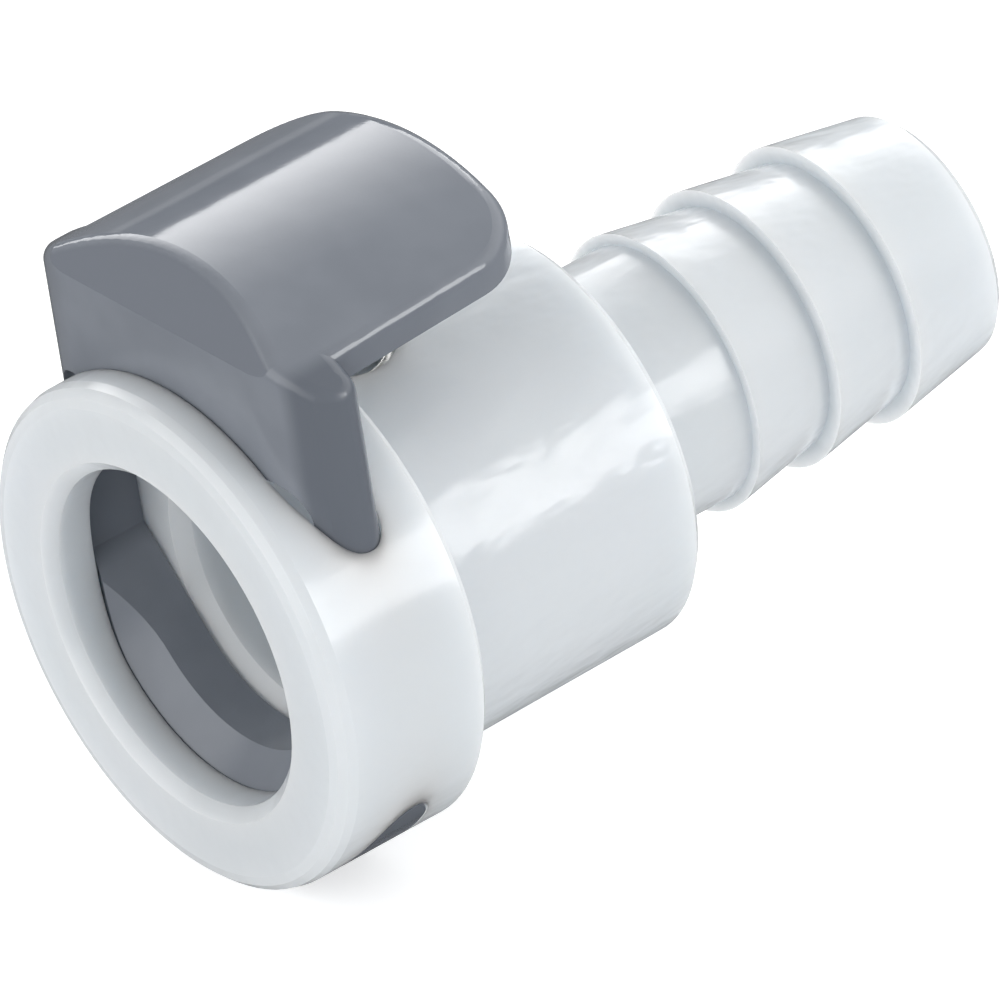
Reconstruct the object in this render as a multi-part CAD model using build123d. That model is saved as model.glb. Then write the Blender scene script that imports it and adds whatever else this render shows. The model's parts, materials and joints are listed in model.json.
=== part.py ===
"""Quick disconnect coupling, hose side, for 9.5 mm bore hose.

Three pieces: a moulded body (collar, barrel and hose barb in one), a moulded
thumb latch that slides across the collar, and the coil spring that lifts it.

Frame, in millimetres: +X is the flow axis from the mating face (x = 0) to the
barb's tip, +Z is up through the latch, and the origin is on the flow axis.
"""

from build123d import *
from math import cos, radians, sin, tan
import os

# ---- collar, which holds the latch and takes the mating insert
COLLAR_R = 10.45
COLLAR_LENGTH = 7.1
FRONT_WALL = 1.82  # ring ahead of the latch slot
COLLAR_FRONT_ROUND = 0.8
COLLAR_ROUND_STEPS = 3  # the round is drawn in this many cones, to keep it light
COLLAR_REAR_CHAMFER = 0.3
MOUTH_R = 6.95  # bore that guides the insert
MOUTH_CHAMFER = 0.5

# ---- barrel, with the seal bore that the insert's O-ring closes
BARREL_R = 8.6  # where it leaves the collar
BARREL_END_R = 8.44
BARREL_END_X = 19.05
BARREL_CHAMFER = 0.3
SEAL_BORE_R = 5.4
SEAL_BORE_END_X = 15.0
SEAL_LEAD_IN = 0.6
FLOW_R = 3.6

# ---- hose barb
NECK_R = 5.3
BARB_COUNT = 3
BARB_FIRST_X = 24.05
BARB_PITCH = 3.93
BARB_PEAK_R = 5.76
BARB_FALL = 0.174  # radius lost per millimetre towards the tip
TIP_X = 36.6
TIP_CHAMFER = 0.3

# ---- thumb latch: an apertured plate with a thumb pad carried back from its top
PLATE_THICKNESS = 3.0
PLATE_HALF_WIDTH = 8.7
PLATE_FRONT_LEAD = 2.1  # depth of the rounded front corners
PLATE_FRONT_SWEEP = 3.2  # and their width, across the flow
PLATE_FRONT_R = 1.5  # their tight end, at the sides
PLATE_REAR_R = 0.85
LATCH_CLEARANCE = 0.08  # between the latch and its slot, on every side
LATCH_TRAVEL = 1.5
CROWN_Z = 15.4  # top of the thumb pad
CROWN_R = 14.6  # its arc, seen along the flow axis
CROWN_ROUND = 0.7  # edge between the top and the sides
BROW_Z = 13.25  # the plate's front leans back above this height
BROW_LEAN = 38.0  # degrees from upright
PAD_END_X = 14.6
PAD_END_BOW = 0.4  # how far the rear end swells at its middle
PAD_HALF_WIDTH = 7.4  # at the plate's back
PAD_DRAFT = 2.5  # degrees that each side closes towards the rear
PAD_CORNER_R = 3.0
PAD_THICKNESS = 1.7  # on the centre line
PAD_UNDER_R = 18.5  # arc of the underside, flatter than the crown

# ---- latch aperture, whose lower rim drops into the insert's groove
RIM_R = 5.8
RIM_HALF_ANGLE = 50.0  # degrees each side of straight down
LEG_THICKNESS = 1.15
APERTURE_TOP_Z = 8.6
APERTURE_CORNER_R = 1.6
LEAD_IN_R = 7.0
LEAD_IN_DEPTH = 1.1

# ---- retaining lug on the latch's back, in its pocket in the slot's rear wall
LUG_WIDTH = 4.4
LUG_HEIGHT = 1.2
LUG_STAND = 0.5
LUG_RAMP = 0.35
LUG_TOP_Z = -6.5
POCKET_SPARE = 0.06  # left under the lug at full travel
POCKET_SIDE_GAP = 0.12

# ---- return spring between the barrel and the pad
SPRING_X = 9.75
SPRING_MEAN_R = 1.95
SPRING_WIRE_R = 0.25
SPRING_WIRE_SIDES = 5  # the round wire is drawn with flats, to keep it light
SPRING_TURNS = 3.5
SPRING_SEAT_Z = 6.9
SPRING_POCKET_GAP = 0.15
SPRING_BOSS_R = 2.6  # flat seat under the pad
SPRING_BOSS_HEIGHT = 0.4
SPIGOT_R = 1.45
SPIGOT_LENGTH = 2.2

# ---- places that follow from the sizes above
slot_rear_x = FRONT_WALL + PLATE_THICKNESS + 2 * LATCH_CLEARANCE
plate_front_x = FRONT_WALL + LATCH_CLEARANCE
plate_rear_x = plate_front_x + PLATE_THICKNESS
aperture_half_width = PLATE_HALF_WIDTH - LEG_THICKNESS
spring_pocket_r = SPRING_MEAN_R + SPRING_WIRE_R + SPRING_POCKET_GAP
pad_underside_z = CROWN_Z - PAD_THICKNESS
spring_top_z = pad_underside_z - SPRING_BOSS_HEIGHT


def turned(points):
    """Revolve a closed outline of (x, r) points about the flow axis."""
    outline = Polyline(*[(x, r, 0) for x, r in points], close=True)
    return revolve(Plane.XY * make_face(outline), axis=Axis.X)


def bore(x_from, x_to, r_from, r_to=None):
    """A cylinder or cone along the flow axis, to cut with."""
    r_to = r_from if r_to is None else r_to
    return turned([(x_from, 0), (x_from, r_from), (x_to, r_to), (x_to, 0)])


def plate_corner(front, half):
    """One front corner of the plate from above: a wide arc that runs into a tight one."""
    lead, sweep, tight_r = PLATE_FRONT_LEAD, PLATE_FRONT_SWEEP, PLATE_FRONT_R
    wide_r = (lead**2 + sweep**2 - 2 * sweep * tight_r) / (2 * (lead - tight_r))
    reach = wide_r / (wide_r - tight_r)
    start = (front, half - sweep)
    meet = (
        front + wide_r - reach * (wide_r - lead),
        half - sweep + reach * (sweep - tight_r),
    )
    wide = TangentArc(start, meet, tangent=(0, 1))
    tight = TangentArc(meet, (front + lead, half), tangent=wide % 1)
    return wide + tight


def plate_plan(gap=0.0):
    """The latch's plate from above, grown by a gap all round for its slot."""
    front = plate_front_x - gap
    rear = plate_rear_x + gap
    half = PLATE_HALF_WIDTH + gap
    turn_x = front + PLATE_FRONT_LEAD
    turn_y = half - PLATE_FRONT_SWEEP
    corner = plate_corner(front, half)
    outline = Line((front, -turn_y), (front, turn_y))
    outline += corner
    outline += Line((turn_x, half), (rear, half))
    outline += Line((rear, half), (rear, -half))
    outline += Line((rear, -half), (turn_x, -half))
    outline += mirror(corner, about=Plane.XZ)
    face = make_face(outline)
    corners = [v for v in face.vertices() if v.X > rear - 0.01]
    return fillet(corners, PLATE_REAR_R + gap)


def upright(face, z_from, z_to):
    """Raise a plan outline into an upright bar."""
    return Pos(0, 0, z_from) * extrude(face, z_to - z_from, dir=(0, 0, 1))


def collar_front_profile():
    """Outline points of the collar's rounded front edge, from its face to its side."""
    points = []
    for i in range(COLLAR_ROUND_STEPS + 1):
        turn = radians(90 * i / COLLAR_ROUND_STEPS)
        x = COLLAR_FRONT_ROUND * (1 - cos(turn))
        points.append((x, COLLAR_R - COLLAR_FRONT_ROUND * (1 - sin(turn))))
    return points


def barb_profile():
    """Outline points of the hose barb from its neck to its tip."""
    points = []
    for i in range(BARB_COUNT):
        shoulder_x = BARB_FIRST_X + i * BARB_PITCH
        last = i == BARB_COUNT - 1
        end_x = TIP_X - TIP_CHAMFER if last else shoulder_x + BARB_PITCH
        points.append((shoulder_x, BARB_PEAK_R))
        points.append((end_x, BARB_PEAK_R - BARB_FALL * (end_x - shoulder_x)))
    points.append((TIP_X, points[-1][1] - TIP_CHAMFER))
    return points


def make_body():
    """Collar, barrel and hose barb, moulded in one."""
    outline = [
        (0, 0),
        *collar_front_profile(),
        (COLLAR_LENGTH - COLLAR_REAR_CHAMFER, COLLAR_R),
        (COLLAR_LENGTH, COLLAR_R - COLLAR_REAR_CHAMFER),
        (COLLAR_LENGTH, BARREL_R),
        (BARREL_END_X - BARREL_CHAMFER, BARREL_END_R),
        (BARREL_END_X, BARREL_END_R - BARREL_CHAMFER),
        (BARREL_END_X, NECK_R),
        (BARB_FIRST_X, NECK_R),
        *barb_profile(),
        (TIP_X, 0),
    ]
    body = turned(outline)

    body -= bore(-1, SEAL_BORE_END_X, SEAL_BORE_R)
    body -= bore(-1, slot_rear_x, MOUTH_R)
    body -= bore(0, MOUTH_CHAMFER, MOUTH_R + MOUTH_CHAMFER, MOUTH_R)
    body -= bore(
        slot_rear_x,
        slot_rear_x + SEAL_LEAD_IN,
        SEAL_BORE_R + SEAL_LEAD_IN,
        SEAL_BORE_R,
    )
    seat_depth = SEAL_BORE_R - FLOW_R
    body -= bore(
        SEAL_BORE_END_X, SEAL_BORE_END_X + seat_depth, SEAL_BORE_R, FLOW_R
    )
    body -= bore(SEAL_BORE_END_X, TIP_X + 1, FLOW_R)

    slot = upright(plate_plan(LATCH_CLEARANCE), -2 * COLLAR_R, 2 * COLLAR_R)
    body -= slot
    body -= lug_pocket()
    body -= Pos(SPRING_X, 0, SPRING_SEAT_Z) * Cylinder(
        spring_pocket_r, COLLAR_R, align=(Align.CENTER, Align.CENTER, Align.MIN)
    )
    return body


def lug_pocket():
    """Recess in the slot's rear wall that the lug runs in; its top is the stop."""
    depth = LUG_STAND - LATCH_CLEARANCE + POCKET_SIDE_GAP
    height = LUG_HEIGHT + LATCH_TRAVEL + POCKET_SPARE
    return Pos(slot_rear_x - 1, 0, LUG_TOP_Z) * Box(
        1 + depth,
        LUG_WIDTH + 2 * POCKET_SIDE_GAP,
        height,
        align=(Align.MIN, Align.CENTER, Align.MAX),
    )


def make_lug():
    """Snap lug with a square top and a ramp below, for fitting from above."""
    top, bottom = LUG_TOP_Z, LUG_TOP_Z - LUG_HEIGHT
    back = plate_rear_x + LUG_STAND
    outline = Polyline(
        (plate_rear_x - 0.5, top),
        (back, top),
        (back, bottom + LUG_RAMP),
        (plate_rear_x, bottom),
        (plate_rear_x - 0.5, bottom),
        close=True,
    )
    return extrude(Plane.XZ * make_face(outline), LUG_WIDTH / 2, both=True)


def make_aperture():
    """Window that the insert passes through, with the catch rim at the bottom."""
    a = radians(RIM_HALF_ANGLE)
    rim_y, rim_z = RIM_R * sin(a), -RIM_R * cos(a)
    side_z = rim_z + (aperture_half_width - rim_y) * tan(a)
    window = (
        ThreePointArc((-rim_y, rim_z), (0, -RIM_R), (rim_y, rim_z))
        + Line((rim_y, rim_z), (aperture_half_width, side_z))
        + Line((aperture_half_width, side_z), (aperture_half_width, APERTURE_TOP_Z))
        + Line((aperture_half_width, APERTURE_TOP_Z), (-aperture_half_width, APERTURE_TOP_Z))
        + Line((-aperture_half_width, APERTURE_TOP_Z), (-aperture_half_width, side_z))
        + Line((-aperture_half_width, side_z), (-rim_y, rim_z))
    )
    face = make_face(window)
    corners = [v for v in face.vertices() if v.Y > APERTURE_TOP_Z - 0.1]
    face = fillet(corners, APERTURE_CORNER_R)
    cut = extrude(Plane.YZ * face, slot_rear_x + 1)
    lead = bore(plate_front_x - 1, plate_front_x, LEAD_IN_R)
    lead += bore(plate_front_x, plate_front_x + LEAD_IN_DEPTH, LEAD_IN_R, RIM_R)
    return cut + lead


def crown(top_z, radius, x_from, x_to):
    """A cylinder along the flow axis whose highest line is at top_z."""
    turn = Pos(x_from, 0, top_z - radius) * Rot(0, 90, 0)
    return turn * Cylinder(
        radius, x_to - x_from, align=(Align.CENTER, Align.CENTER, Align.MIN)
    )


def pad_plan():
    """The thumb pad from above: sides that close to the rear, a bowed end, round corners."""
    start_x = plate_rear_x - PLATE_REAR_R
    rear_half = PAD_HALF_WIDTH - (PAD_END_X - plate_rear_x) * tan(radians(PAD_DRAFT))
    outline = Polyline(
        (PAD_END_X, rear_half),
        (plate_rear_x, PAD_HALF_WIDTH),
        (start_x, PAD_HALF_WIDTH),
        (start_x, -PAD_HALF_WIDTH),
        (plate_rear_x, -PAD_HALF_WIDTH),
        (PAD_END_X, -rear_half),
    )
    outline += ThreePointArc(
        (PAD_END_X, -rear_half), (PAD_END_X + PAD_END_BOW, 0), (PAD_END_X, rear_half)
    )
    face = make_face(outline)
    corners = [v for v in face.vertices() if v.X > PAD_END_X - 0.1]
    return fillet(corners, PAD_CORNER_R)


def brow_cutter():
    """Everything ahead of the plane that the top of the plate's front leans on."""
    rise = 2 * (CROWN_Z - BROW_Z)
    run = rise * tan(radians(BROW_LEAN))
    outline = Polyline(
        (plate_front_x - 1, BROW_Z),
        (plate_front_x, BROW_Z),
        (plate_front_x + run, BROW_Z + rise),
        (plate_front_x - 1, BROW_Z + rise),
        close=True,
    )
    return extrude(Plane.XZ * make_face(outline), 2 * PLATE_HALF_WIDTH, both=True)


def make_latch():
    """Apertured plate, leaning brow, arched thumb pad, spring seat and lug."""
    top = crown(CROWN_Z, CROWN_R, -1, 2 * PAD_END_X)
    plan = plate_plan() + pad_plan()
    latch = upright(plan, 0, 2 * CROWN_Z) & top
    latch -= brow_cutter()
    crown_face = latch.faces().filter_by(lambda f: f.area > 80).sort_by(Axis.Z)[-1]
    latch = Part() + latch.fillet(CROWN_ROUND, crown_face.edges())

    under = crown(pad_underside_z, PAD_UNDER_R, plate_rear_x, 2 * PAD_END_X)
    under &= Pos(0, 0, -1) * Box(
        6 * PAD_END_X, 4 * COLLAR_R, CROWN_Z + 1, align=(Align.MIN, Align.CENTER, Align.MIN)
    )
    latch -= under
    foot = upright(plate_plan(), -COLLAR_R, 0)
    latch += foot & bore(0, COLLAR_LENGTH, COLLAR_R)

    low = (Align.CENTER, Align.CENTER, Align.MIN)
    latch += Pos(SPRING_X, 0, spring_top_z) * Cylinder(
        SPRING_BOSS_R, pad_underside_z + PAD_THICKNESS / 2 - spring_top_z, align=low
    )
    latch += Pos(SPRING_X, 0, spring_top_z - SPIGOT_LENGTH) * Cylinder(
        SPIGOT_R, SPIGOT_LENGTH, align=low
    )
    latch -= make_aperture()
    latch += make_lug()
    return latch


def make_spring():
    """Compression coil with ground ends, from the pocket's floor to the pad's seat."""
    length = spring_top_z - SPRING_SEAT_Z
    pitch = length / SPRING_TURNS
    spare = 2 * SPRING_WIRE_R
    base = Pos(SPRING_X, 0, SPRING_SEAT_Z - spare)
    path = base * Helix(pitch, length + 2 * spare, SPRING_MEAN_R)
    start = Plane(path @ 0, z_dir=path % 0)
    coil = sweep(start * RegularPolygon(SPRING_WIRE_R, SPRING_WIRE_SIDES), path=path)
    slab = Pos(SPRING_X, 0, SPRING_SEAT_Z) * Cylinder(
        2 * SPRING_MEAN_R, length, align=(Align.CENTER, Align.CENTER, Align.MIN)
    )
    return coil & slab


def save(name, shape):
    """Write one piece to parts/, and say what it is."""
    solids = shape.solids()
    print(name, "solids", len(solids), "volume", round(shape.volume, 1))
    export_step(shape, f"parts/{name}.step")


os.makedirs("parts", exist_ok=True)
save("coupling_body", make_body())
save("thumb_latch", make_latch())
save("latch_spring", make_spring())
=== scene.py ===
"""Looks, light and camera for the hose side of a quick disconnect coupling.

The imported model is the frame, in metres: +X is the flow axis from the mating face
to the barb's tip, +Z is up through the thumb latch, and the latch spring stands in
the barrel's seat. The moulded body and the latch keep their own surfaces and get
their plastics here. The spring is drawn again as round wire, with closed ground ends.
"""

import json
import logging
import math
from dataclasses import dataclass
from enum import Enum
from typing import Any, Sequence

import bpy
import numpy as np
from mathutils import Matrix, Vector

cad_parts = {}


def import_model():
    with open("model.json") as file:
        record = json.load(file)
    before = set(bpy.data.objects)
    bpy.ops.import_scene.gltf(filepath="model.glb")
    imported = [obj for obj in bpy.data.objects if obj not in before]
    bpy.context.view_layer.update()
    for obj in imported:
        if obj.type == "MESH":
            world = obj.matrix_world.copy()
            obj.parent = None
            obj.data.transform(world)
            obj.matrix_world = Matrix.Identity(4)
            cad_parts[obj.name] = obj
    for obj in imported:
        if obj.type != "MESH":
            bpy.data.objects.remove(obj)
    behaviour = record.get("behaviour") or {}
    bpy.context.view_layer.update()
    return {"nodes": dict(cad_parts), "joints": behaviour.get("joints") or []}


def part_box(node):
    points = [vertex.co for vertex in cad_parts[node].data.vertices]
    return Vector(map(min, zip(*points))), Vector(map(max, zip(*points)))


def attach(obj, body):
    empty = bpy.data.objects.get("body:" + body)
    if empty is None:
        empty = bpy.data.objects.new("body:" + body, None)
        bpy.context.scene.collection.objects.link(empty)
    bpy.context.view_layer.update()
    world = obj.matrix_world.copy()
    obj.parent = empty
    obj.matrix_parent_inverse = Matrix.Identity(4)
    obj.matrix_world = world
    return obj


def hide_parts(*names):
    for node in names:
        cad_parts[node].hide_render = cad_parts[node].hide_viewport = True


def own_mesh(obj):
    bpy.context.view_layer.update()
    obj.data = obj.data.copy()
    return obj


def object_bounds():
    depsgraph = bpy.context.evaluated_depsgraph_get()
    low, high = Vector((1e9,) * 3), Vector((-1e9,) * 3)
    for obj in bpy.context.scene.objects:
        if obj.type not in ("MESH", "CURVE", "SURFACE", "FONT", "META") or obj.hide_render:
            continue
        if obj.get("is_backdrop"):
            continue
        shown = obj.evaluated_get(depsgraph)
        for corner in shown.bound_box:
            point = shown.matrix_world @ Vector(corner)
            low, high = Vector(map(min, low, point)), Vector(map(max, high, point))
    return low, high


LOG = logging.getLogger("coupling")
MM = 0.001
AHEAD_LIMIT = 0.001  # a direction with less of a box's middle in it counts as behind the box

Colour = tuple[float, float, float]
Point = tuple[float, float, float]
Range = tuple[float, float]

ALONG: Point = (1.0, 0.0, 0.0)  # the flow axis
ASIDE: Point = (0.0, 1.0, 0.0)
UP: Point = (0.0, 0.0, 1.0)  # the latch's travel
WHITE = (1.0, 1.0, 1.0, 1.0)


class Slot(Enum):
    """Material slots of the record."""

    BODY = "natural_polypropylene"
    LATCH = "grey_latch_plastic"
    WIRE = "spring_steel"


@dataclass(frozen=True)
class Grain:
    """A noise pattern: the size of a cell, its finer octaves, and its stretch along each axis."""

    cell: float
    detail: float
    stretch: Point = (1.0, 1.0, 1.0)


class Shader:
    """A small builder of node trees."""

    def __init__(self, tree: bpy.types.NodeTree) -> None:
        """Empty the tree.

        Args:
            tree: The node tree of a material or of the world.
        """
        self.tree = tree
        self.tree.nodes.clear()

    def node(self, kind: str, **settings: Any) -> bpy.types.Node:
        """Add a node.

        Args:
            kind: Blender's name of the node type, without its Shader prefix.
            **settings: Properties of the node.

        Returns:
            The node.
        """
        made = self.tree.nodes.new("ShaderNode" + kind)
        for name, value in settings.items():
            setattr(made, name, value)
        return made

    def link(self, source: bpy.types.NodeSocket, target: bpy.types.NodeSocket) -> None:
        """Join an output to an input."""
        self.tree.links.new(source, target)

    def feed(self, target: bpy.types.NodeSocket, value: Any) -> None:
        """Set an input to a constant, or link it if the value is a socket.

        Args:
            target: The input.
            value: A constant of the input's kind, or an output to link.
        """
        if isinstance(value, bpy.types.NodeSocket):
            self.link(value, target)
        else:
            target.default_value = value

    def math(self, operation: str, *values: Any) -> bpy.types.NodeSocket:
        """Apply one arithmetic operation.

        Args:
            operation: Blender's name of the operation.
            *values: Its inputs, each a number or a socket.

        Returns:
            The result.
        """
        made = self.node("Math", operation=operation)
        for socket, value in zip(made.inputs, values):
            self.feed(socket, value)
        return made.outputs[0]

    def dot(self, vector: bpy.types.NodeSocket, direction: Sequence[float]) -> bpy.types.NodeSocket:
        """Measure a vector along a fixed direction.

        Args:
            vector: The vector.
            direction: The direction, of unit length.

        Returns:
            The vector's length along the direction.
        """
        made = self.node("VectorMath", operation="DOT_PRODUCT")
        self.link(vector, made.inputs[0])
        made.inputs[1].default_value = tuple(direction)
        return made.outputs["Value"]

    def ramp(self, value: bpy.types.NodeSocket, low: float, high: float,
             to_low: float = 0.0, to_high: float = 1.0) -> bpy.types.NodeSocket:
        """Map a value from one range to another along a smooth step.

        Args:
            value: The value.
            low: Where the step starts.
            high: Where the step ends.
            to_low: The result at and below the start.
            to_high: The result at and above the end.

        Returns:
            The result.
        """
        made = self.node("MapRange", interpolation_type="SMOOTHSTEP")
        self.link(value, made.inputs["Value"])
        bounds = {"From Min": low, "From Max": high, "To Min": to_low, "To Max": to_high}
        for name, bound in bounds.items():
            made.inputs[name].default_value = bound
        return made.outputs["Result"]

    def noise(self, grain: Grain) -> bpy.types.NodeSocket:
        """Lay a noise pattern that is fixed to the piece.

        Args:
            grain: The pattern's cell, in metres, its octaves and its stretch.

        Returns:
            The noise, from 0 to 1.
        """
        place = self.node("TexCoord").outputs["Object"]
        scaled = self.node("Mapping")
        self.link(place, scaled.inputs["Vector"])
        scaled.inputs["Scale"].default_value = tuple(1.0 / (grain.cell * s) for s in grain.stretch)
        made = self.node("TexNoise")
        self.link(scaled.outputs["Vector"], made.inputs["Vector"])
        made.inputs["Scale"].default_value = 1.0
        made.inputs["Detail"].default_value = grain.detail
        return made.outputs["Fac"]

    def bump(self, height: bpy.types.NodeSocket, depth: float,
             under: bpy.types.NodeSocket | None = None) -> bpy.types.NodeSocket:
        """Turn a height into a bumped normal.

        Args:
            height: The height, from 0 to 1 where it isn't scaled further.
            depth: What a height of 1 measures, in metres.
            under: A normal that is already bumped, to add to.

        Returns:
            The normal.
        """
        made = self.node("Bump")
        made.inputs["Distance"].default_value = depth
        self.link(height, made.inputs["Height"])
        if under is not None:
            self.link(under, made.inputs["Normal"])
        return made.outputs["Normal"]

    def blend(self, amount: bpy.types.NodeSocket, low: Any, high: Any) -> bpy.types.NodeSocket:
        """Mix two colours.

        Args:
            amount: The share of the second colour.
            low: The first colour, three numbers or a socket.
            high: The second colour, three numbers or a socket.

        Returns:
            The mixed colour.
        """
        made = self.node("Mix", data_type="RGBA")
        self.link(amount, made.inputs["Factor"])
        for name, colour in (("A", low), ("B", high)):
            linked = isinstance(colour, bpy.types.NodeSocket)
            self.feed(made.inputs[name], colour if linked else (*colour, 1.0))
        return made.outputs["Result"]


@dataclass(frozen=True)
class Finish:
    """What every finish has: a name and the reflection of a plain dielectric."""

    name: str
    ior: float = 1.5

    def start(self) -> tuple[bpy.types.Material, Shader, bpy.types.Node]:
        """Make a material with an empty Principled shader in it.

        Returns:
            The material, its node builder and the Principled node.
        """
        material = bpy.data.materials.new(self.name)
        material.use_nodes = True
        shader = Shader(material.node_tree)
        surface = shader.node("BsdfPrincipled")
        output = shader.node("OutputMaterial")
        shader.link(surface.outputs["BSDF"], output.inputs["Surface"])
        surface.inputs["IOR"].default_value = self.ior
        return material, shader, surface

    def make(self) -> bpy.types.Material:
        """Build the material; a finish without a look of its own is left plain."""
        return self.start()[0]


@dataclass(frozen=True)
class NaturalPolypropylene(Finish):
    """Milky natural polypropylene: light goes in, scatters and comes out bluish.

    The skin has flow marks, which are calmer on the collar than on the barrel and barb.
    """

    pale: Colour = (0.73, 0.757, 0.788)
    deep: Colour = (0.705, 0.74, 0.762)
    clouds: Grain = Grain(6.0 * MM, 1.0)
    scatter_depth: float = 2.2 * MM
    scatter_colour: Colour = (0.95, 0.98, 1.0)
    scatter_share: float = 1.0
    gloss: Range = (0.15, 0.26)
    flow: Grain = Grain(0.7 * MM, 1.0, (1.8, 1.0, 1.0))
    flow_span: Range = (0.2, 0.8)
    flow_depth: float = 0.045 * MM
    swirl: Grain = Grain(2.2 * MM, 1.0, (1.5, 1.0, 1.0))
    swirl_share: float = 2.5
    calm_to: float = 7.1 * MM
    calm_fade: float = 0.4 * MM
    calm_share: float = 0.3
    skin: Grain = Grain(0.22 * MM, 2.0)
    skin_depth: float = 0.0006 * MM

    def make(self) -> bpy.types.Material:
        """Build the material.

        Returns:
            The material.
        """
        material, shader, surface = self.start()
        colour = shader.blend(shader.noise(self.clouds), self.deep, self.pale)
        shader.link(colour, surface.inputs["Base Color"])
        surface.inputs["Subsurface Weight"].default_value = self.scatter_share
        surface.inputs["Subsurface Radius"].default_value = self.scatter_colour
        surface.inputs["Subsurface Scale"].default_value = self.scatter_depth
        flow = shader.noise(self.flow)
        shader.link(shader.ramp(flow, *self.flow_span, *self.gloss), surface.inputs["Roughness"])
        shader.link(self.normal(shader, flow), surface.inputs["Normal"])
        return material

    def normal(self, shader: Shader, flow: bpy.types.NodeSocket) -> bpy.types.NodeSocket:
        """Bump the surface with flow marks and, over them, a fine skin.

        The marks' height is the flow noise plus a share of the swirl noise, and is cut
        to its calm share ahead of the collar's back.

        Args:
            shader: The material's node builder.
            flow: The flow noise.

        Returns:
            The bumped normal.
        """
        along = shader.dot(shader.node("TexCoord").outputs["Object"], ALONG)
        fade = (self.calm_to - self.calm_fade, self.calm_to + self.calm_fade)
        calm = shader.ramp(along, *fade, self.calm_share, 1.0)
        swirl = shader.math("MULTIPLY", shader.noise(self.swirl), self.swirl_share)
        height = shader.math("MULTIPLY", shader.math("ADD", flow, swirl), calm)
        marks = shader.bump(height, self.flow_depth)
        return shader.bump(shader.noise(self.skin), self.skin_depth, marks)


@dataclass(frozen=True)
class LatchPlastic(Finish):
    """Blue-grey moulded plastic, with the faint waviness of its skin.

    It is polished on the thumb pad and satin below it. Two areas are darker: the panel
    on the leaning brow, where the distance along panel_normal is over panel_at, and the
    plate's two sides, whose darker colour is painted shade for the dim light from beside.
    """

    dark: Colour = (0.205, 0.224, 0.258)
    light: Colour = (0.225, 0.245, 0.280)
    clouds: Grain = Grain(3.0 * MM, 2.0)
    cloud_span: Range = (0.3, 0.7)
    panel: Colour = (0.180, 0.198, 0.232)
    panel_normal: Point = (-0.788, 0.0, 0.616)
    panel_at: float = 6.665 * MM
    panel_edge: float = 0.03 * MM
    # Painted shade: the plate's two sides, between the two distances off the middle below, are
    # darkened for the dim light that falls on them from beside.
    side: Colour = (0.135, 0.151, 0.180)
    side_shade_from: float = 6.9 * MM
    side_shade_to: float = 7.7 * MM
    polish: float = 0.07
    polish_above: float = 13.4 * MM
    satin: float = 0.24
    satin_below: float = 12.4 * MM
    rub: Grain = Grain(0.5 * MM, 3.0)
    rub_span: Range = (0.35, 0.75)
    rub_roughness: float = 0.03
    waves: Grain = Grain(2.4 * MM, 1.0)
    wave_depth: float = 0.010 * MM
    skin: Grain = Grain(0.16 * MM, 2.0)
    skin_depth: float = 0.0016 * MM

    def make(self) -> bpy.types.Material:
        """Build the material.

        Returns:
            The material.
        """
        material, shader, surface = self.start()
        place = shader.node("TexCoord").outputs["Object"]
        shader.link(self.colour(shader, place), surface.inputs["Base Color"])
        height = shader.dot(place, UP)
        gloss = shader.ramp(height, self.satin_below, self.polish_above, self.satin, self.polish)
        rub = shader.ramp(shader.noise(self.rub), *self.rub_span, 0.0, self.rub_roughness)
        shader.link(shader.math("ADD", gloss, rub), surface.inputs["Roughness"])
        waves = shader.bump(shader.noise(self.waves), self.wave_depth)
        skin = shader.bump(shader.noise(self.skin), self.skin_depth, waves)
        shader.link(skin, surface.inputs["Normal"])
        return material

    def colour(self, shader: Shader, place: bpy.types.NodeSocket) -> bpy.types.NodeSocket:
        """Mix the cloudy skin colour with the panel's, and darken the sides with painted shade.

        Args:
            shader: The material's node builder.
            place: The place on the piece, in metres.

        Returns:
            The colour.
        """
        clouds = shader.ramp(shader.noise(self.clouds), *self.cloud_span)
        skin = shader.blend(clouds, self.dark, self.light)
        ahead = shader.math("SUBTRACT", shader.dot(place, self.panel_normal), self.panel_at)
        front = shader.blend(shader.ramp(ahead, -self.panel_edge, 0.0), skin, self.panel)
        # Painted shade: the plate's two sides are blended towards the darker side colour.
        beside = shader.math("ABSOLUTE", shader.dot(place, ASIDE))
        return shader.blend(shader.ramp(beside, self.side_shade_from, self.side_shade_to), front, self.side)


@dataclass(frozen=True)
class SpringWire(Finish):
    """Drawn stainless wire with fine lines along it."""

    steel: Colour = (0.58, 0.58, 0.57)
    worn: Colour = (0.68, 0.68, 0.66)
    lines: Grain = Grain(0.05 * MM, 2.0, (6.0, 6.0, 1.0))
    line_span: Range = (0.3, 0.7)
    line_depth: float = 0.002 * MM
    gloss: Range = (0.24, 0.38)

    def make(self) -> bpy.types.Material:
        """Build the material.

        Returns:
            The material.
        """
        material, shader, surface = self.start()
        surface.inputs["Metallic"].default_value = 1.0
        lines = shader.noise(self.lines)
        shader.link(shader.blend(lines, self.steel, self.worn), surface.inputs["Base Color"])
        shader.link(shader.ramp(lines, *self.line_span, *self.gloss), surface.inputs["Roughness"])
        shader.link(shader.bump(lines, self.line_depth), surface.inputs["Normal"])
        return material


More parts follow.
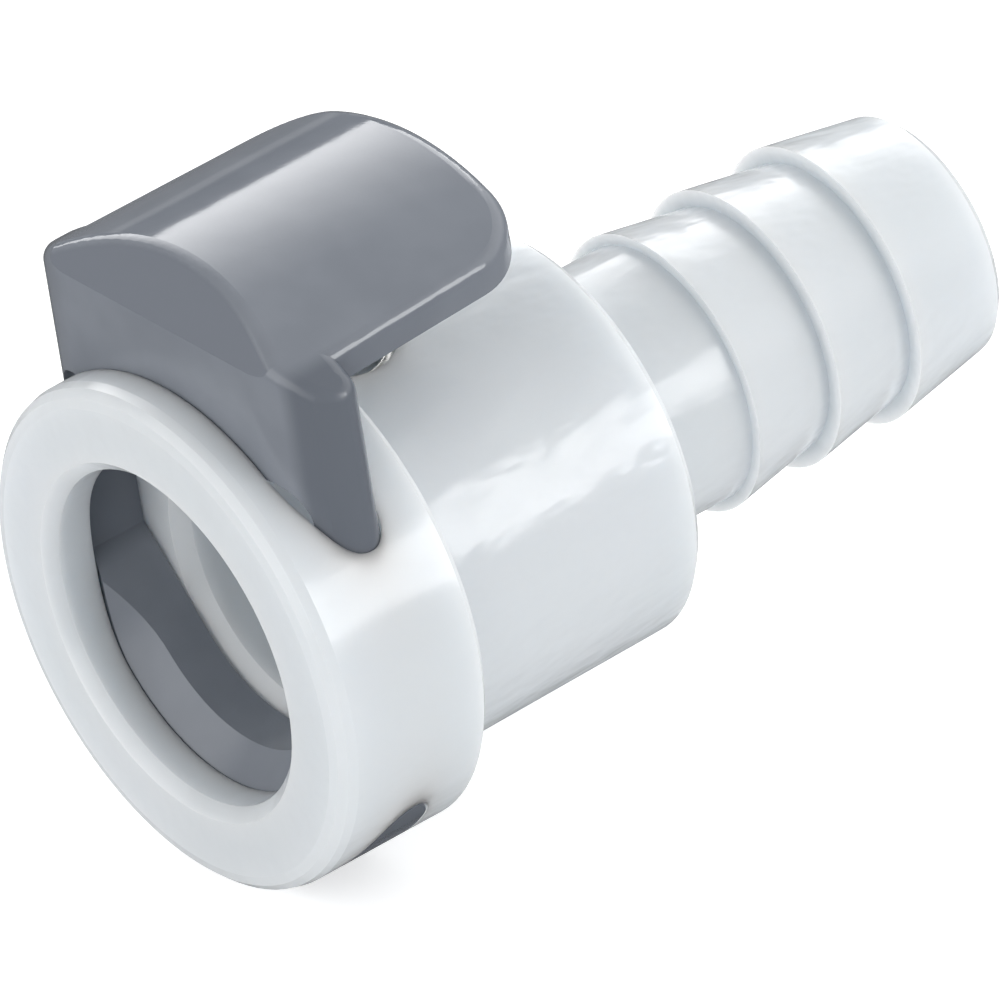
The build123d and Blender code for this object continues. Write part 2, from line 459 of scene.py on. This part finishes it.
@dataclass(frozen=True)
class Sweep(Finish):
    """White studio sweep that keeps a soft shadow and is white to the camera.

    It is darker in reflections, and a little glow adds to the light that it throws back up.
    """

    albedo: float = 0.75
    mirrored: float = 0.14
    roughness: float = 0.9
    camera_lift: float = 0.56
    glow: float = 0.31

    def make(self) -> bpy.types.Material:
        """Build the material.

        Returns:
            The material.
        """
        material, shader, surface = self.start()
        path = shader.node("LightPath")
        grey, dim = (self.albedo,) * 3, (self.mirrored,) * 3
        colour = shader.blend(path.outputs["Is Glossy Ray"], grey, dim)
        shader.link(colour, surface.inputs["Base Color"])
        surface.inputs["Roughness"].default_value = self.roughness
        surface.inputs["Specular IOR Level"].default_value = 0.0
        surface.inputs["Emission Color"].default_value = WHITE
        seen = shader.math("MULTIPLY", path.outputs["Is Camera Ray"], self.camera_lift)
        below = shader.math("MULTIPLY", path.outputs["Is Diffuse Ray"], self.glow)
        shader.link(shader.math("ADD", seen, below), surface.inputs["Emission Strength"])
        return material


@dataclass(frozen=True)
class Softbox:
    """A rectangle of light in the studio's surroundings, as wide and high as it looks.

    A direction is inside it when its shares along the box's right and up, divided by
    its share along the box's middle, are less than the half-width and half-height.
    Angles are in degrees. fade_up is the share of the height over which its top fades.
    As a flag, it takes away its strength's share of the sky behind it instead.
    """

    azimuth: float
    elevation: float
    half_width: float
    half_height: float
    strength: float
    feather: float = 1.0
    fade_up: float = 0.0

    def basis(self) -> tuple[Vector, Vector, Vector]:
        """Work out the box's own directions.

        Returns:
            Unit vectors to its middle, to its right and up its face.
        """
        a, e = math.radians(self.azimuth), math.radians(self.elevation)
        middle = Vector((math.cos(e) * math.cos(a), math.cos(e) * math.sin(a), math.sin(e)))
        right = middle.cross(Vector(UP)).normalized()
        return middle, right, right.cross(middle)

    def cover(self, shader: Shader, direction: bpy.types.NodeSocket) -> bpy.types.NodeSocket:
        """Work out how much of a direction the rectangle covers.

        Args:
            shader: The builder of the world's nodes.
            direction: The direction that is looked up.

        Returns:
            The share, from 0 to 1.
        """
        middle, right, up = self.basis()
        ahead = shader.dot(direction, middle)
        front = shader.math("MAXIMUM", ahead, AHEAD_LIMIT)
        across = shader.math("DIVIDE", shader.dot(direction, right), front)
        along = shader.math("DIVIDE", shader.dot(direction, up), front)
        edge = math.tan(math.radians(self.feather))
        wide = math.tan(math.radians(self.half_width))
        high = math.tan(math.radians(self.half_height))
        beside = shader.math("ABSOLUTE", across)
        inside = shader.ramp(beside, wide - edge, wide + edge, 1.0, 0.0)
        bottom = shader.ramp(along, -high - edge, -high + edge)
        fade = 2.0 * high * self.fade_up
        top = shader.ramp(along, high - edge - fade, high + edge, 1.0, 0.0)
        level = shader.math("MULTIPLY", shader.math("MULTIPLY", inside, bottom), top)
        return shader.math("MULTIPLY", level, shader.math("GREATER_THAN", ahead, AHEAD_LIMIT))


@dataclass
class Studio:
    """White floor, soft surroundings and the camera.

    The boxes are, in order: the key to the camera's right, the large one behind the part
    that the thumb pad mirrors, the one before the mating face, the one past the barb's
    tip, and a faint low strip behind. The flag keeps the sky under the large box dark.
    """

    target: Point = (15.375 * MM, -0.721 * MM, -1.040 * MM)
    toward_camera: Point = (-0.4740, -0.7089, 0.5222)
    camera_right: Point = (0.7730, -0.6189, -0.1386)
    distance: float = 1.6
    field_width: float = 37.5 * MM
    sensor: float = 36.0
    clip: Range = (0.05, 20.0)
    floor_half: float = 3.0
    floor_gap: float = 0.02 * MM
    light_level: float = 0.8
    sky: float = 0.60
    horizon: float = 0.50
    sky_span: Range = (-0.2, 0.9)
    boxes: tuple[Softbox, ...] = (
        Softbox(azimuth=-60.0, elevation=14.6, half_width=9.0, half_height=11.2, strength=8.0),
        Softbox(azimuth=60.0, elevation=38.0, half_width=30.0, half_height=21.0, strength=4.9,
                fade_up=0.95),
        Softbox(azimuth=180.0, elevation=28.0, half_width=38.0, half_height=24.0, strength=1.62,
                feather=8.0),
        Softbox(azimuth=-5.0, elevation=30.0, half_width=40.0, half_height=22.0, strength=1.2,
                feather=8.0),
        Softbox(azimuth=62.0, elevation=2.0, half_width=40.0, half_height=2.4, strength=0.4,
                feather=0.8),
    )
    flags: tuple[Softbox, ...] = (
        Softbox(azimuth=60.0, elevation=-3.0, half_width=50.0, half_height=20.0, strength=0.9),
    )

    def build(self) -> None:
        """Set the colour management, the surroundings, the floor and the camera."""
        bpy.context.scene.view_settings.view_transform = "Standard"
        self.surroundings()
        self.floor()
        self.camera()

    def surroundings(self) -> None:
        """Light the world evenly, with soft boxes round the part.

        The camera itself sees the world plain white.
        """
        world = bpy.data.worlds.new("studio")
        bpy.context.scene.world = world
        world.use_nodes = True
        shader = Shader(world.node_tree)
        light = shader.math("MULTIPLY", self.light(shader), self.light_level)
        strength = shader.node("Mix")
        shader.link(shader.node("LightPath").outputs["Is Camera Ray"], strength.inputs["Factor"])
        shader.link(light, strength.inputs["A"])
        strength.inputs["B"].default_value = 1.0
        background = shader.node("Background")
        background.inputs["Color"].default_value = WHITE
        shader.link(strength.outputs["Result"], background.inputs["Strength"])
        output = shader.node("OutputWorld")
        shader.link(background.outputs["Background"], output.inputs["Surface"])

    def light(self, shader: Shader) -> bpy.types.NodeSocket:
        """Add up the light from each direction: the flagged sky plus every box.

        Args:
            shader: The builder of the world's nodes.

        Returns:
            The light, before light_level.
        """
        direction = shader.node("TexCoord").outputs["Generated"]
        level = shader.ramp(shader.dot(direction, UP), *self.sky_span, self.horizon, self.sky)
        for flag in self.flags:
            shade = shader.math("MULTIPLY", flag.cover(shader, direction), flag.strength)
            level = shader.math("MULTIPLY", level, shader.math("SUBTRACT", 1.0, shade))
        for box in self.boxes:
            glow = shader.math("MULTIPLY", box.cover(shader, direction), box.strength)
            level = shader.math("ADD", level, glow)
        return level

    def floor(self) -> bpy.types.Object:
        """Lay the floor under the lowest point of the part.

        Returns:
            The floor.
        """
        low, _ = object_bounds()
        z = low[2] - self.floor_gap
        h = self.floor_half
        mesh = bpy.data.meshes.new("floor")
        mesh.from_pydata([(-h, -h, z), (h, -h, z), (h, h, z), (-h, h, z)], [], [(0, 1, 2, 3)])
        made = bpy.data.objects.new("floor", mesh)
        bpy.context.scene.collection.objects.link(made)
        mesh.materials.append(Sweep("white_sweep").make())
        made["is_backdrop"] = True
        return made

    def camera(self) -> bpy.types.Object:
        """Aim a long lens along the viewing direction, rolled so that the part lies as it should.

        Returns:
            The camera.
        """
        back = Vector(self.toward_camera).normalized()
        right = Vector(self.camera_right)
        right = (right - back * right.dot(back)).normalized()
        up = back.cross(right)
        data = bpy.data.cameras.new("camera")
        data.type = "PERSP"
        data.sensor_width = self.sensor
        data.lens = self.sensor * self.distance / self.field_width
        data.clip_start, data.clip_end = self.clip
        made = bpy.data.objects.new("camera", data)
        bpy.context.scene.collection.objects.link(made)
        place = Vector(self.target) + back * self.distance
        turn = Matrix((right, up, back)).transposed().to_4x4()
        made.matrix_world = Matrix.Translation(place) @ turn
        bpy.context.scene.camera = made
        return made


@dataclass
class Moulding:
    """A moulded piece that keeps its own surface."""

    node: str
    finish: Finish

    def dress(self, nodes: dict[str, bpy.types.Object]) -> None:
        """Give the moulding its plastic."""
        put_on(nodes[self.node], self.finish.make())


@dataclass
class MouldedBody(Moulding):
    """The collar, barrel and hose barb, one moulding."""

    node: str = "coupling_body"
    finish: Finish = NaturalPolypropylene("natural_pp")


@dataclass
class ThumbLatch(Moulding):
    """The sliding plate with its thumb pad, one moulding."""

    node: str = "thumb_latch"
    finish: Finish = LatchPlastic("latch_grey")


@dataclass
class LatchSpring:
    """The coil under the thumb pad, as round wire with closed, ground ends.

    It fills the height and the width of the solid that it stands in for.
    """

    node: str = "latch_spring"
    joint: str = "latch_press"
    body: str = "coupling"
    wire_r: float = 0.25 * MM
    turns: float = 5.0
    closed_turns: float = 0.9
    steps_per_turn: int = 48
    sides: int = 14
    finish: Finish = SpringWire("spring_wire")

    def centre_line(self, low: np.ndarray, high: np.ndarray) -> np.ndarray:
        """Work out the wire's centre line.

        The angle grows evenly. The height rises by one wire's diameter a turn in the
        closed end coils, and faster in between, eased where the two meet. The line
        starts and ends half a wire's radius inside the coil's two end planes, which
        is where the ends are ground.

        Args:
            low: The lowest corner of the solid's box.
            high: The highest corner of the solid's box.

        Returns:
            Points of the line, one a row.
        """
        middle = (low + high) / 2
        radius = (high[0] - low[0]) / 2 - self.wire_r
        count = int(self.turns * self.steps_per_turn) + 1
        turn = np.linspace(0.0, self.turns, count)
        ends = np.clip(np.minimum(turn, self.turns - turn) / self.closed_turns, 0.0, 1.0)
        rate = ends ** 2 * (3 - 2 * ends)
        closed = 2.0 * self.wire_r
        height = high[2] - low[2] - self.wire_r
        spare = height - closed * self.turns
        rise = np.concatenate(([0.0], np.cumsum((rate[1:] + rate[:-1]) / 2)))
        z = closed * turn + spare * rise / rise[-1]
        angle = 2.0 * np.pi * turn
        x = middle[0] + radius * np.cos(angle)
        y = middle[1] + radius * np.sin(angle)
        return np.stack([x, y, low[2] + self.wire_r / 2 + z], axis=1)

    def surface(self, low: np.ndarray, high: np.ndarray) -> tuple[np.ndarray, int]:
        """Carry a circle along the centre line and grind both ends flat.

        A surface point is the centre line's point plus the wire's radius times the
        cosine and sine of the side angle, along the line's outward and binormal
        directions. Heights are then held between the coil's two end planes.

        Args:
            low: The lowest corner of the solid's box.
            high: The highest corner of the solid's box.

        Returns:
            The surface's points, ring by ring, and the number of rings.
        """
        line = self.centre_line(low, high)
        along = np.gradient(line, axis=0)
        along /= np.linalg.norm(along, axis=1, keepdims=True)
        outward = line - (low + high) / 2
        outward[:, 2] = 0.0
        outward -= along * (outward * along).sum(axis=1, keepdims=True)
        outward /= np.linalg.norm(outward, axis=1, keepdims=True)
        across = np.cross(along, outward)
        side = np.linspace(0.0, 2.0 * np.pi, self.sides, endpoint=False)[None, :, None]
        ring = np.cos(side) * outward[:, None, :] + np.sin(side) * across[:, None, :]
        points = (line[:, None, :] + self.wire_r * ring).reshape(-1, 3)
        points[:, 2] = np.clip(points[:, 2], low[2], high[2])
        return points, len(line)

    def build(self, joints: list[dict[str, Any]]) -> bpy.types.Object:
        """Make the coil, put it in the solid's place and dress it.

        Args:
            joints: The frame's joints; not used.

        Returns:
            The spring.
        """
        low, high = (np.array(corner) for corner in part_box(self.node))
        points, rings = self.surface(low, high)
        made = surface_object("spring_coil", points, tube_faces(rings, self.sides))
        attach(made, self.body)
        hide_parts(self.node)
        self.follow_latch(made)
        put_on(made, self.finish.make())
        return made

    def follow_latch(self, made: bpy.types.Object) -> None:
        """Give the coil a mesh of its own.

        Args:
            made: The coil.
        """
        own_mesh(made)


def tube_faces(rings: int, sides: int) -> list[tuple[int, ...]]:
    """List the faces of a tube whose points lie ring by ring, with both ends capped.

    A quad joins each point, its neighbour on the ring, and the same two on the next ring.

    Args:
        rings: Number of rings.
        sides: Points of each ring.

    Returns:
        The corner numbers of each face.
    """
    first, side = np.arange(rings - 1)[:, None] * sides, np.arange(sides)[None, :]
    start = (first + side).ravel()
    following = (first + (side + 1) % sides).ravel()
    quads = np.stack([start, start + sides, following + sides, following], axis=1)
    caps = [tuple(range(sides)), tuple(reversed(range((rings - 1) * sides, rings * sides)))]
    return [tuple(quad) for quad in quads.tolist()] + caps


def surface_object(name: str, points: np.ndarray,
                   faces: list[tuple[int, ...]]) -> bpy.types.Object:
    """Make a smooth-shaded mesh object.

    Args:
        name: The object's name.
        points: Its points, one a row.
        faces: The corner numbers of each face, in order round its outer side.

    Returns:
        The object.
    """
    mesh = bpy.data.meshes.new(name)
    mesh.from_pydata(points.tolist(), [], faces)
    mesh.polygons.foreach_set("use_smooth", np.ones(len(faces), dtype=bool))
    mesh.update()
    made = bpy.data.objects.new(name, mesh)
    bpy.context.scene.collection.objects.link(made)
    return made


def put_on(piece: bpy.types.Object, material: bpy.types.Material) -> None:
    """Give a piece one material all over.

    Args:
        piece: The piece.
        material: Its material.
    """
    if not piece.material_slots:
        piece.data.materials.append(material)
    for material_slot in piece.material_slots:
        material_slot.material = material


def main() -> None:
    """Load the frame, build and dress each piece, and set up the studio."""
    logging.basicConfig(level=logging.INFO)
    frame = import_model()
    MouldedBody().dress(frame["nodes"])
    LOG.info("body dressed")
    ThumbLatch().dress(frame["nodes"])
    LOG.info("latch dressed")
    LatchSpring().build(frame["joints"])
    LOG.info("spring built")
    Studio().build()
    LOG.info("studio built")


if __name__ == "__main__":
    main()
